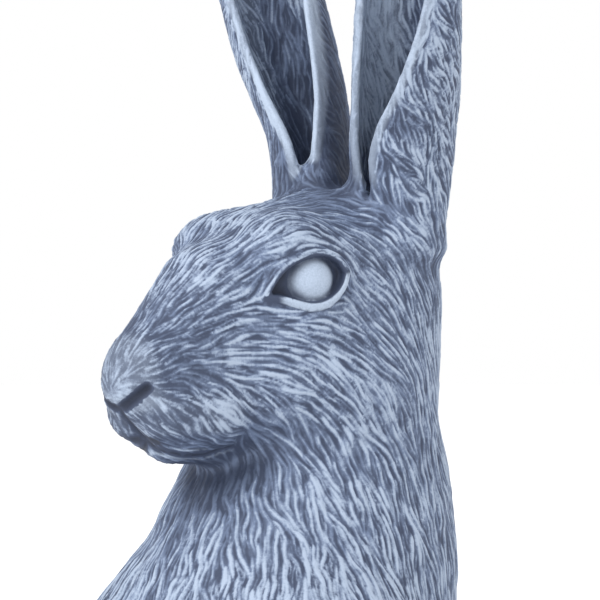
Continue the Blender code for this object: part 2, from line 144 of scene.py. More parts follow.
# Shares of half the ear's width
EAR_BREADTH = ((0.0, 0.77), (0.16, 0.77), (0.23, 0.79), (0.32, 0.9), (0.43, 0.98), (0.56, 1.0),
               (0.68, 0.97), (0.8, 0.79), (0.9, 0.53), (0.96, 0.33), (1.0, 0.15))
EAR_DEPTH = ((0.0, 0.9), (0.08, 1.06), (0.16, 1.18), (0.3, 1.2), (0.45, 1.1), (0.6, 0.92),
             (0.8, 0.62), (0.92, 0.34), (1.0, 0.13))
# Half the angle of the open front, and how far the opening faces round from straight ahead
EAR_OPENING = ((0.0, 14.0), (0.09, 16.0), (0.16, 18.0), (0.24, 28.0), (0.31, 37.0), (0.44, 46.0),
               (0.56, 52.0), (0.8, 74.0), (1.0, 100.0))
EAR_TURNS = {+1: ((0.0, 3.0), (0.3, 4.0), (0.44, 12.0), (0.56, 17.0), (1.0, 26.0)),
             -1: ((0.0, 36.0), (0.3, 36.0), (0.56, 38.0), (1.0, 45.0))}
EAR_WALL_SHARE = ((0.0, 1.15), (0.5, 1.0), (1.0, 0.6))

# Heights past which the body's masses, or the ears, are too far off to matter
BODY_TOP, EARS_BOTTOM = 112.0, 66.0

# The box in which the skin is looked for, in metres, how often its grid is halved, how many of its
# steps about the skin are kept, and the furthest that a point moves at once on its way to the skin
GRID_BOX = (-0.045, -0.05, -0.004), (0.045, 0.05, 0.17)
GRID_HALVINGS, GRID_REACH = 3, 2.2
LONGEST_MOVE = 0.002
FOOT_REACH = 0.00012   # Points this near the foot are laid flat on it

# Strokes: pieces along each, the share of the tries after which they are small ones, and a small
# one's share of the breadth, length and height
STROKE_STEPS = 14
SMALL_AFTER = 0.45
SMALL_BREADTH, SMALL_LENGTH, SMALL_HEIGHT = 0.72, 0.6, 0.62
# Room between two strokes, as shares of their breadth and length, and how alike they must face
ROOM_BESIDE, SMALL_ROOM_BESIDE, ROOM_ALONG = 1.12, 0.75, 0.4
SAME_FACING = 0.3
CROWD_CELL = 0.004
LOWEST_START, BAREST_START = 0.001, 0.6

# How far out each place is looked at for what closes it in, in metres, and how much each counts
# The more closed in a place, the darker it is painted: partly the wash pooled there, partly painted shade
OCCLUSION_START = 0.0002
OCCLUSION_REACHES = ((0.0012, 0.2), (0.003, 0.22), (0.007, 0.25), (0.014, 0.3), (0.026, 0.35))
# Waves in the fur's wandering, and the sum of them that counts as 1. How far the strokes turn by
# it, in radians, over what size, and the seed of each
WAVES, WAVES_REACH = 6, 3.2
WANDERS = ((0.34, 9.0, 5), (0.22, 4.2, 8))

# How far out from the edge of each lid the strokes stop, and how much the nose and the ears' rims
# are smoothed
UPPER_LID_BARE, LOWER_LID_BARE = -0.1, 1.2
NOSE_BARE, RIM_BARE = 0.25, 0.5
# How strongly the pale paint lies on each part
EYEBALL_PALE, UPPER_LID_PALE, NOSE_PALE, LIP_PALE = 0.9, 0.25, 0.36, 0.5
RIM_PALE, INNER_RIM_PALE = 0.6, 0.3
# Painted light in the ears' linings, stronger in the near ear
NEAR_LINING_PAINTED_LIGHT, FAR_LINING_PAINTED_LIGHT = 0.38, 0.3
# Painted light: the brow, chest and nape are made paler where light falls on them; the lips are made paler
# too
BROW_AND_CHEST_PAINTED_LIGHT, LIPS_PALER, NAPE_PAINTED_LIGHT = 0.12, 0.25, 0.1

# Grain of the paint: noise scale and length of the fine and the coarse hairs, times each is read,
# how much stronger they are made, and the scales of specks, blotches and clouds
FINE_HAIR, COARSE_HAIR = (1500, 0.0022), (700, 0.0045)
HAIR_READS, HAIR_GAIN = 5, 3.2
SPECK_SCALE, BLOTCH_SCALE, CLOUD_SCALE = 2600, 260, 60

# The photograph's frame: size of a pixel, half the frame in pixels, and its middle beside and above
# the middle of the foot. The camera's side, height of view, distance and sensor.
PIXEL = 0.0002
HALF_FRAME, VIEW_ASIDE, VIEW_HEIGHT = 300, 10, 350
CAMERA_AZIMUTH, CAMERA_ELEVATION = 45.0, 0.0
CAMERA_DISTANCE = 1.3
SENSOR_WIDTH = 36.0
NEAREST_SEEN, FURTHEST_SEEN = 0.05, 20
FLOOR_REACH, FLOOR_DROP = 3.0, 0.0002
# Lamps: name, degrees round from the camera, height over the middle, distance, size, energy
LAMPS = (
    ("key", -40, 0.75, 0.9, 0.7, 12.0),
    ("fill", 70, 0.35, 1.0, 0.8, 1.0),
)


def blend_min(first, second, width):
    """The nearer of two surfaces, rounded together where they meet."""
    near = np.maximum(width - np.abs(first - second), 0.0) / width
    return np.minimum(first, second) - near * near * width / 4


def blend_max(first, second, width):
    """What both surfaces hold, with the edge between them rounded."""
    return -blend_min(-first, -second, width)


def curve_through(pairs, at):
    """A smooth curve through (place, value) pairs, read at the given places."""
    places, values = (np.array(column, float) for column in zip(*pairs))
    slopes = np.gradient(values, places)
    at = np.clip(at, places[0], places[-1])
    piece = np.clip(np.searchsorted(places, at) - 1, 0, len(places) - 2)
    span = places[piece + 1] - places[piece]
    s = (at - places[piece]) / span
    return ((1 + 2 * s) * (1 - s) ** 2 * values[piece]
            + s * (1 - s) ** 2 * span * slopes[piece]
            + s * s * (3 - 2 * s) * values[piece + 1]
            + s * s * (s - 1) * span * slopes[piece + 1])


def ball(p, centre, radii, turn=0.0):
    """Distance to an egg-shaped mass, turned nose down about X."""
    q = p - np.array(centre)
    c, s = math.cos(math.radians(turn)), math.sin(math.radians(turn))
    q = np.stack([q[:, 0], q[:, 1] * c + q[:, 2] * s, q[:, 2] * c - q[:, 1] * s], axis=1)
    scaled = np.linalg.norm(q / radii, axis=1)
    steep = np.linalg.norm(q / np.square(radii), axis=1)
    return scaled * (scaled - 1) / np.maximum(steep, 1e-9)


def limb(p, first, first_radius, second, second_radius):
    """Distance to a bar with round ends whose radius runs evenly from one end to the other."""
    first, second = np.array(first), np.array(second)
    along = second - first
    share = np.clip((p - first) @ along / (along @ along), 0, 1)
    away = np.linalg.norm(p - first - share[:, None] * along, axis=1)
    return away - first_radius - share * (second_radius - first_radius)


def path(p, points, radius):
    """Distance to a round cord laid through the points."""
    return np.min([limb(p, a, radius, b, radius) for a, b in zip(points, points[1:])], axis=0)


def trunk_section(z):
    """The trunk's middle in Y, half width and half depth at a height."""
    heights = [row[0] for row in TRUNK]
    return [curve_through(list(zip(heights, [row[k] for row in TRUNK])), z) for k in (1, 2, 3)]


def trunk(p):
    """Distance to the neck and chest, an oval column whose section changes with height."""
    middle, half_width, half_depth = trunk_section(p[:, 2])
    across, deep = p[:, 0] / half_width, (p[:, 1] - middle) / half_depth
    side = (np.hypot(across, deep) - 1) * np.minimum(half_width, half_depth)
    return blend_max(side, p[:, 2] - TRUNK[-1][0], 6.0)


def eye_axes():
    """Ahead, up and outward at the left eye."""
    azimuth, elevation = math.radians(EYE_AZIMUTH), math.radians(EYE_ELEVATION)
    outward = np.array([math.sin(azimuth) * math.cos(elevation),
                        -math.cos(azimuth) * math.cos(elevation), math.sin(elevation)])
    level = np.cross(outward, (0.0, 0.0, 1.0))
    level /= np.linalg.norm(level)
    level = -level if level[1] > 0 else level
    upright = np.cross(level, outward)
    upright = -upright if upright[2] < 0 else upright
    slant = math.radians(EYE_SLANT)
    ahead = level * math.cos(slant) - upright * math.sin(slant)
    up = upright * math.cos(slant) + level * math.sin(slant)
    return ahead, up, outward


def lid_outline():
    """The opening between the lids, ahead and up from the eye's middle, round from the rear corner."""
    shares = -np.cos(np.linspace(0, math.pi, LID_POINTS))
    upper = np.stack([shares * EYE_HALF_LENGTH, curve_through(UPPER_LID, shares)], 1)
    lower = np.stack([shares * EYE_HALF_LENGTH, -curve_through(LOWER_LID, shares)], 1)
    return np.concatenate([upper[:-1], lower[:0:-1]])


def outside(outline, flat):
    """How far each flat point is outside a closed outline: negative within it."""
    first, second = outline, np.roll(outline, -1, axis=0)
    run = second - first
    gap = flat[:, None] - first
    share = np.clip((gap * run).sum(2) / (run * run).sum(1), 0, 1)
    away = np.linalg.norm(gap - share[:, :, None] * run, axis=2).min(1)
    above = (first[:, 1] > flat[:, 1:]) != (second[:, 1] > flat[:, 1:])
    crossing = first[:, 0] + gap[:, :, 1] * run[:, 0] / np.where(run[:, 1] == 0, 1, run[:, 1])
    within = (above & (flat[:, :1] < crossing)).sum(1) % 2 == 1
    return np.where(within, -away, away)


def eye_place(p):
    """Where a point is at the left eye: ahead, up, how proud of the face, and how far outside the lids."""
    ahead, up, outward = eye_axes()
    q = p - np.array(EYE_MIDDLE)
    along, height = q @ ahead, q @ up
    proud = q @ outward + (along * along + height * height) / EYE_ROUNDNESS
    rim = np.full(len(p), EYE_REACH)
    near = np.linalg.norm(q, axis=1) < EYE_REACH
    rim[near] = outside(lid_outline(), np.stack([along[near], height[near]], 1))
    return along, height, proud, rim


def eyeball_middle():
    """The middle of the left eyeball."""
    ahead, up, outward = eye_axes()
    return (np.array(EYE_MIDDLE) + outward * (EYEBALL_PROUD - EYEBALL_RADIUS)
            - ahead * EYEBALL_BACK + up * EYEBALL_UP)


def carve_eye(p, head):
    """The head with its socket cut, the eyeball set in it and the two lids rolled round it."""
    _, _, proud, rim = eye_place(p)
    lid = np.hypot(rim - LID_CREST, proud - 0.2) - LID_WIDTH / UNIT / 2
    head = blend_min(head, lid, 1.2)
    socket = np.maximum(rim + 0.3, np.abs(proud) - SOCKET_DEPTH)
    head = blend_max(head, -socket, 0.6)
    return blend_min(head, ball(p, eyeball_middle(), (EYEBALL_RADIUS,) * 3), 0.3)


def ear_frame(share, side):
    """The middle of an ear at a share of its length, its half width, half depth and turn."""
    half = EAR_WIDTH / UNIT / 2
    middle_x = side * (EAR_ROOT[0] + curve_through(EAR_LEAN_OUT, share))
    middle_y = EAR_ROOT[1] - curve_through(EAR_LEAN_AHEAD, share)
    wall = EAR_WALL / UNIT * curve_through(EAR_WALL_SHARE, share)
    width = np.maximum(curve_through(EAR_BREADTH, share) * half - wall / 2, 0.5)
    depth = np.maximum(curve_through(EAR_DEPTH, share) * half - wall / 2, 0.5)
    turn = np.radians(curve_through(EAR_TURNS[side], share))
    opening = np.radians(curve_through(EAR_OPENING, share))
    return middle_x, middle_y, width, depth, turn, opening, wall


def ear(p, side):
    """Distance to one ear: a wall rolled round its own axis and open in front."""
    length = EAR_LENGTH / UNIT
    height = p[:, 2] - EAR_ROOT[2]
    share = np.clip(height / length, 0, 1)
    middle_x, middle_y, width, depth, turn, opening, wall = ear_frame(share, side)
    x, y = p[:, 0] - middle_x, p[:, 1] - middle_y
    ahead = x * np.sin(turn) - y * np.cos(turn)
    aside = np.abs(x * np.cos(turn) + y * np.sin(turn))
    reach = np.hypot(ahead / depth, aside / width)
    steep = np.hypot(ahead / depth ** 2, aside / width ** 2)
    outward = (reach - 1) * reach / np.maximum(steep, 1e-9)
    c, s = np.cos(opening), np.sin(opening)
    on_ahead, on_aside = ahead - depth * c, aside - width * s
    on_wall = on_aside * width * c - on_ahead * depth * s > 0
    from_rim = np.hypot(on_ahead, on_aside)
    flat = np.where(on_wall, np.abs(outward), from_rim)
    beyond = np.maximum(height - length, 0) + np.maximum(EAR_FOOT - height, 0)
    thin = (1 - EAR_RIM_SHARE) * np.exp(-(from_rim / EAR_RIM_REACH) ** 2)
    sheet = np.hypot(flat, beyond) - wall / 2 * (1 - thin)
    plug = blend_max(outward, height - EAR_PLUG_TOP[side], 3.0)
    plug = blend_max(plug, EAR_FOOT - height, 6.0)
    return blend_min(sheet, plug, 1.5)


def locks(p):
    """Height of the fur's locks on the neck and chest: rows of teardrops, each row half a lock aside."""
    middle, half_width, half_depth = trunk_section(p[:, 2])
    round_angle = np.arctan2(p[:, 0] / half_width, (middle - p[:, 1]) / half_depth)
    columns = round(math.tau * LOCKS_HALF_WIDTH * UNIT / LOCK_PITCH)
    relief = np.zeros(len(p))
    for layer in (0.0, 0.5):
        place = round_angle / math.tau * columns + layer
        column = np.floor(place)
        stagger = 0.25 * np.sin(column * 2.4 + layer * 5)
        down = -p[:, 2] * UNIT / LOCK_LENGTH + layer + stagger
        along = down - np.floor(down)
        sway = 0.22 * np.sin(p[:, 2] / 6.0 + 2 * round_angle)
        aside = np.abs(place - column - 0.5 + sway * along) * 2
        breadth = 1.0 - 0.75 * along ** 2
        rise = np.minimum(along / 0.75, (1 - along) / 0.25)
        relief = np.maximum(relief, np.maximum(1 - (aside / breadth) ** 2, 0) * rise)
    fade = np.clip((62 - p[:, 2]) / 22, 0, 1) * np.clip((p[:, 2] - 1) / 4, 0, 1)
    return relief * fade * LOCK_HEIGHT / UNIT


def head_and_chest(p):
    """Distance to everything but the ears and the eyes."""
    mirrored = np.stack([np.sqrt(p[:, 0] ** 2 + 0.04), p[:, 1], p[:, 2]], axis=1)
    body = trunk(p)
    for _, centre, radii, turn, width in MASSES:
        body = blend_min(body, ball(mirrored if centre[0] else p, centre, radii, turn), width)
    for _, first, first_radius, second, second_radius, width in LIMBS:
        body = blend_min(body, limb(p, first, first_radius, second, second_radius), width)
    for _, points_along, radius in GROOVES:
        body = blend_max(body, -path(mirrored, points_along, radius), 0.9)
    near_eye = np.linalg.norm(mirrored - EYE_MIDDLE, axis=1) < EYE_REACH
    body[near_eye] = carve_eye(mirrored[near_eye], body[near_eye])
    return body - locks(p)


def in_units(points):
    """Places in metres as places in UNITs, over the middle of the carving."""
    return (points - (0.0, MIDDLE_AHEAD, 0.0)) / UNIT


def form(points):
    """Distance to the bust's surface at each point, in metres: negative inside."""
    p = in_units(points)
    body = np.full(len(p), 60.0)
    low, high = p[:, 2] < BODY_TOP, p[:, 2] > EARS_BOTTOM
    body[low] = head_and_chest(p[low])
    raised = body[high]
    for side in EAR_TURNS:
        raised = blend_min(raised, ear(p[high], side), EAR_BLEND)
    body[high] = blend_min(raised, ball(p[high], EAR_KNOB, EAR_KNOB_RADII), EAR_KNOB_BLEND)
    rounding = BASE_ROUNDING / UNIT
    sunk = np.clip(rounding - p[:, 2], 0, rounding)
    return (body + rounding - np.sqrt(rounding ** 2 - sunk ** 2)) * UNIT


def skin(points):
    """Distance to the bust as it stands: the form, cut flat at z = 0."""
    return np.maximum(form(points), -points[:, 2])


def slope_of(field, points):
    """How fast the field grows along X, Y and Z."""
    here = field(points)
    return here, np.stack([(field(points + step) - here) / PROBE for step in np.eye(3) * PROBE], 1)


def onto_skin(points, rounds=1):
    """The points, drawn onto the skin, and the outward normal there."""
    for _ in range(rounds):
        value, slope = slope_of(skin, points)
        steep = np.maximum((slope * slope).sum(1), 0.2)
        move = -(value / steep)[:, None] * slope
        reach = np.linalg.norm(move, axis=1, keepdims=True)
        points = points + move * np.minimum(1, LONGEST_MOVE / np.maximum(reach, 1e-9))
    return points, slope / np.maximum(np.linalg.norm(slope, axis=1, keepdims=True), 1e-9)


def positions(mesh):
    """The places of a mesh's vertices."""
    points = np.empty(len(mesh.vertices) * 3, np.float32)
    mesh.vertices.foreach_get("co", points)
    return points.reshape(-1, 3).astype(float)


def place(mesh, points):
    """Moves a mesh's vertices to the given places."""
    mesh.vertices.foreach_set("co", points.astype(np.float32).ravel())
    mesh.update()


def smooth_step(low, high, value):
    """0 up to low, 1 from high, smooth between: where on the rabbit something starts and is full."""
    t = np.clip((value - low) / (high - low), 0, 1)
    return t * t * (3 - 2 * t)


# How the fur lies: a place on the left half, in UNITs, and the way the strokes run there
HEAD_FLOW = (
    ((0, -46, 58), (0.0, 0.5, 0.85)),
    ((0, -40, 66), (0.05, 0.66, 0.75)),
    ((0, -30, 76), (0.1, 0.8, 0.6)),
    ((3, -20, 84), (0.15, 0.9, 0.4)),
    ((0, -6, 88), (0.1, 1.0, 0.1)),
    ((8, -30, 72), (0.25, 0.75, 0.6)),
    ((12, -20, 81), (0.3, 0.85, 0.35)),
    ((11, -8, 87), (0.25, 0.95, 0.05)),
    ((14, 4, 85), (0.3, 0.9, -0.25)),
    ((8, -40, 58), (0.3, 0.75, 0.55)),
    ((12, -30, 64), (0.4, 0.85, 0.35)),
    ((10, -36, 52), (0.35, 0.85, -0.35)),
    ((14, -26, 58), (0.4, 0.9, -0.15)),
    ((15, -24, 68), (0.45, 0.8, 0.25)),
    ((6, -42, 48), (0.4, 0.7, -0.7)),
    ((6, -43, 53), (0.4, 0.85, -0.1)),
    ((10, -33, 45), (0.35, 0.7, -0.8)),
    ((12, -24, 46), (0.3, 0.75, -0.7)),
    ((16, -17, 63), (0.3, 0.93, -0.15)),
    ((18, -8, 64), (0.1, 0.93, -0.35)),
    ((18, -6, 54), (0.1, 0.82, -0.57)),
    ((17, -14, 51), (0.2, 0.85, -0.5)),
    ((14, -10, 42), (0.2, 0.75, -0.65)),
    ((19, 4, 58), (0.05, 0.7, -0.7)),
    ((18, -16, 81), (0.2, 0.95, 0.15)),
    ((18, -4, 80), (0.2, 0.85, -0.45)),
    ((19, 2, 72), (0.05, 0.72, -0.7)),
    ((18, 9, 80), (0.1, 0.65, -0.75)),
    ((19, 14, 70), (0.0, 0.45, -0.9)),
    ((0, 35, 74), (0.0, 0.15, -1.0)),
    ((12, 30, 80), (0.1, 0.2, -1.0)),
    ((17, 24, 60), (0.05, 0.15, -1.0)),
    ((20, 12, 50), (0.05, 0.35, -0.95)),
    ((17, 2, 42), (0.2, 0.45, -0.85)),
    ((0, 34, 50), (0.0, 0.05, -1.0)),
    ((26, 12, 30), (0.15, 0.05, -1.0)),
    ((0, -24, 40), (0.0, 0.6, -0.5)),
    ((0, -14, 38), (0.0, -0.35, -0.95)),
    ((0, -20, 30), (0.0, -0.5, -0.85)),
    ((9, -14, 34), (0.3, -0.25, -0.92)),
    ((15, -8, 34), (0.4, 0.05, -0.9)),
    ((0, -32, 14), (0.0, -0.4, -0.9)),
    ((16, -28, 14), (0.25, -0.25, -0.93)),
    ((27, -16, 10), (0.25, -0.1, -0.95)),
    ((30, 4, 12), (0.1, 0.0, -1.0)),
    ((22, 26, 12), (0.05, 0.1, -1.0)),
    ((0, 35, 12), (0.0, 0.1, -1.0)),
)
EAR_START, EAR_FULL = 88.0, 96.0


def on_ears(p):
    """0 on the head, 1 on the ears, smooth at their feet."""
    return smooth_step(EAR_START, EAR_FULL, p[:, 2])


def left_half(p):
    """Places on either half, as the place on the left half that mirrors them."""
    return np.stack([np.abs(p[:, 0]), p[:, 1], p[:, 2]], 1)


def wander(p, size, seed):
    """A smooth random number between -1 and 1, which changes over the given size."""
    total = np.zeros(len(p))
    dice = np.random.default_rng(seed)
    for _ in range(WAVES):
        way = dice.normal(size=3)
        way /= np.linalg.norm(way)
        pace = math.tau / size * dice.uniform(0.7, 1.5)
        total += np.sin(p @ way * pace + dice.uniform(0, math.tau))
    return total / WAVES_REACH


def ear_place(p):
    """Where a point is on its ear: how deep in its hollow, how far from the rim, inside, and its way up."""
    result_deep, result_edge, result_inside = np.zeros((3, len(p)))
    ways = np.zeros((len(p), 3))
    for side in EAR_TURNS:
        on = p[:, 0] * side > 0
        height = p[on, 2] - EAR_ROOT[2]
        share = np.clip(height * UNIT / EAR_LENGTH, 0, 1)
        middle_x, middle_y, width, depth, turn, opening, _ = ear_frame(share, side)
        x, y = p[on, 0] - middle_x, p[on, 1] - middle_y
        ahead = x * np.sin(turn) - y * np.cos(turn)
        aside = x * np.cos(turn) + y * np.sin(turn)
        angle = np.arctan2(aside / width, ahead / depth)
        reach = np.hypot(ahead / depth, aside / width)
        step = 0.01
        further = ear_frame(np.clip(share + step, 0, 1), side)
        nearer = ear_frame(np.clip(share - step, 0, 1), side)
        rise = np.stack([further[0] - nearer[0], further[1] - nearer[1],
                         np.full(on.sum(), 2 * step * EAR_LENGTH / UNIT)], 1)
        rise /= np.linalg.norm(rise, axis=1, keepdims=True)
        out = np.stack([np.sin(angle) * np.cos(turn) + np.cos(angle) * np.sin(turn),
                        np.sin(angle) * np.sin(turn) - np.cos(angle) * np.cos(turn),
                        np.zeros(on.sum())], 1)
        round_way = np.cross(rise, out)
        edge = np.hypot(ahead - depth * np.cos(opening), np.abs(aside) - width * np.sin(opening))
        lean = np.where(reach < 1, -0.25, -0.6) * np.sign(np.sin(angle))
        lean *= smooth_step(3.1, 2.4, np.abs(angle)) * smooth_step(1.2, 3.5, edge)
        ways[on] = (rise + round_way * lean[:, None]) * np.where(reach < 1, 1, -1)[:, None]
        deep = smooth_step(1.2, 2.3, np.abs(angle) - opening)
        result_deep[on], result_edge[on], result_inside[on] = deep, edge, reach < 1
    return result_deep, result_edge, result_inside, ways


def flow(points, normals):
    """Unit vectors along the surface, the way the fur lies."""
    p = in_units(points)
    side = np.where(p[:, 0] < 0, -1.0, 1.0)
    mirror = np.stack([side, np.ones(len(p)), np.ones(len(p))], 1)
    q = p * mirror
    total = np.zeros_like(q)
    for spot, way in HEAD_FLOW:
        near = ((q - spot) ** 2).sum(1)
        way = np.array(way) / np.linalg.norm(way)
        total += way / (near[:, None] + 12) ** 2
    total[:, 0] *= side
    total /= np.linalg.norm(total, axis=1, keepdims=True)
    ears = on_ears(p)[:, None]
    total = total * (1 - ears) + ear_place(p)[3] * ears
    along, height, proud, rim = eye_place(q)
    ahead, up, _ = (axis * mirror for axis in eye_axes())
    across_lid = ahead * (along / EYE_HALF_LENGTH ** 2)[:, None] + up * (height / 5.0 ** 2)[:, None]
    across_lid /= np.maximum(np.linalg.norm(across_lid, axis=1, keepdims=True), 1e-9)
    at_lid = np.where(np.abs(proud) < 8, smooth_step(6.0, 1.5, rim), 0) * 0.85
    total -= across_lid * (at_lid * (total * across_lid).sum(1))[:, None]
    total -= normals * (total * normals).sum(1, keepdims=True)
    total /= np.maximum(np.linalg.norm(total, axis=1, keepdims=True), 1e-6)
    _, y, z = p.T
    swing = sum(turn * wander(p, size, seed) for turn, size, seed in WANDERS)
    swing *= 0.55 + 0.45 * smooth_step(62, 40, z) + 0.6 * smooth_step(80, 88, z)
    swing *= 1 + 0.5 * smooth_step(78, 84, z) * smooth_step(104, 94, z) * smooth_step(0, 10, y)
    across = np.cross(normals, total)
    return total * np.cos(swing)[:, None] + across * np.sin(swing)[:, None]


def bare(points):
    """How much a place is left without strokes: the eyes, lids, nose, mouth, foot and the ears' rims."""
    p = in_units(points)
    q = left_half(p)
    _, _, proud, rim = eye_place(q)
    lid = np.where((q - EYE_MIDDLE) @ eye_axes()[1] > 0, UPPER_LID_BARE, LOWER_LID_BARE)
    eye = np.where(np.abs(proud) < 6, smooth_step(0.5, 0.0, rim - lid), 0)
    nose = smooth_step(-43.0, -46.0, p[:, 1]) * smooth_step(46, 49, p[:, 2])
    foot = smooth_step(2.0, 0.6, p[:, 2])
    _, edge, _, _ = ear_place(p)
    ear_rim = smooth_step(1.3, 0.8, edge) * on_ears(p)
    lines = smooth_step(0.6, 0.1, groove_gap(q, GROOVES))
    return np.clip(np.maximum.reduce([eye, nose * NOSE_BARE, foot, ear_rim * RIM_BARE, lines]), 0, 1)


def groove_gap(q, grooves):
    """How far a place is from the nearest of some grooves of the face."""
    return np.min([path(q, points, radius) for _, points, radius in grooves], axis=0)


def paleness(points):
    """Where pale paint lies whatever the strokes do, with painted light on the brow, chest, nape and ear
    linings and painted shade in the folds: -1 keeps a place dark.
    """
    p = in_units(points)
    q = left_half(p)
    _, y, z = p.T
    along, height, proud, rim = eye_place(q)
    at_eye = (np.abs(proud) < 6).astype(float)
    off = np.hypot((along + EYEBALL_BACK) / 1.2, height - EYEBALL_UP)
    eyeball = smooth_step(5.5, 2.6, off) * smooth_step(0.0, -0.4, rim) * EYEBALL_PALE
    # The dark ring round the eyeball, in the crease under the lids: the wash there, with painted shade
    ring = smooth_step(4.5, 5.2, off) * smooth_step(0.0, -0.5, rim)
    lower = smooth_step(1.0, 0.6, np.abs(rim - 0.65)) * smooth_step(0.3, -0.8, height)
    lower *= smooth_step(8.0, 5.0, along)
    upper = smooth_step(0.8, 0.3, np.abs(rim - 0.6)) * smooth_step(-0.3, 1.5, height) * UPPER_LID_PALE
    nose = smooth_step(-40.0, -46.0, y) * smooth_step(47, 51, z) * NOSE_PALE
    deep, edge, inside, _ = ear_place(p)
    share = np.clip((z - EAR_ROOT[2]) * UNIT / EAR_LENGTH, 0, 1)
    medial = (p[:, 0] < 0) & (p[:, 0] > -EAR_ROOT[0] - curve_through(EAR_LEAN_OUT, share))
    wide = 2.2 + 3.0 * medial * (1 - inside) * smooth_step(98, 122, z)
    rims = smooth_step(wide, 0.6, edge) * on_ears(p) * (RIM_PALE + INNER_RIM_PALE * medial)
    # Painted light: the ears' linings made paler where light falls into them, the near one more
    painted_lining_light = inside * (1.3 - deep) * smooth_step(92, 104, z)
    painted_lining_light *= np.where(p[:, 0] > 0, NEAR_LINING_PAINTED_LIGHT, FAR_LINING_PAINTED_LIGHT)
    rims = np.maximum(rims, painted_lining_light)
    # Near-black in the folds and the mouth: the wash there, made darker as painted shade
    folds, mouth = groove_gap(q, GROOVES[:-1]), groove_gap(q, GROOVES[-1:])
    lines = np.maximum(smooth_step(0.5, -0.05, folds), smooth_step(0.2, -0.02, mouth))
    lip = smooth_step(0.9, 0.2, np.abs(path(q, GROOVES[-1][1], 1.7)))
    lip *= smooth_step(41.6, 40.2, z) * LIP_PALE
    # Painted light: paler brow, chest and nape where the light falls, and paler lips over the mouth
    painted_light_and_paler_lips = smooth_step(70, 84, z) * smooth_step(12, -4, y) * smooth_step(96, 88, z)
    painted_light_and_paler_lips = np.maximum(painted_light_and_paler_lips, smooth_step(44, 26, z) * smooth_step(14, -4, y)) * BROW_AND_CHEST_PAINTED_LIGHT
    lips = smooth_step(5, 11, q[:, 0]) * smooth_step(55, 50, z) * smooth_step(-20, -27, y)
    lips = np.maximum(lips, smooth_step(-30, -36, y) * smooth_step(53, 49, z))
    nape = NAPE_PAINTED_LIGHT * smooth_step(16, 24, y) * smooth_step(80, 60, z)
    painted_light_and_paler_lips += LIPS_PALER * lips * smooth_step(41.5, 44, z) + nape
    painted_light_and_paler_lips = painted_light_and_paler_lips * (1 - np.clip(at_eye * smooth_step(3.0, 1.0, rim), 0, 1))
    eyes = at_eye * (eyeball + lower + upper - ring)
    return eyes + (nose + lip) * (1 - lines) + rims - lines + painted_light_and_paler_lips


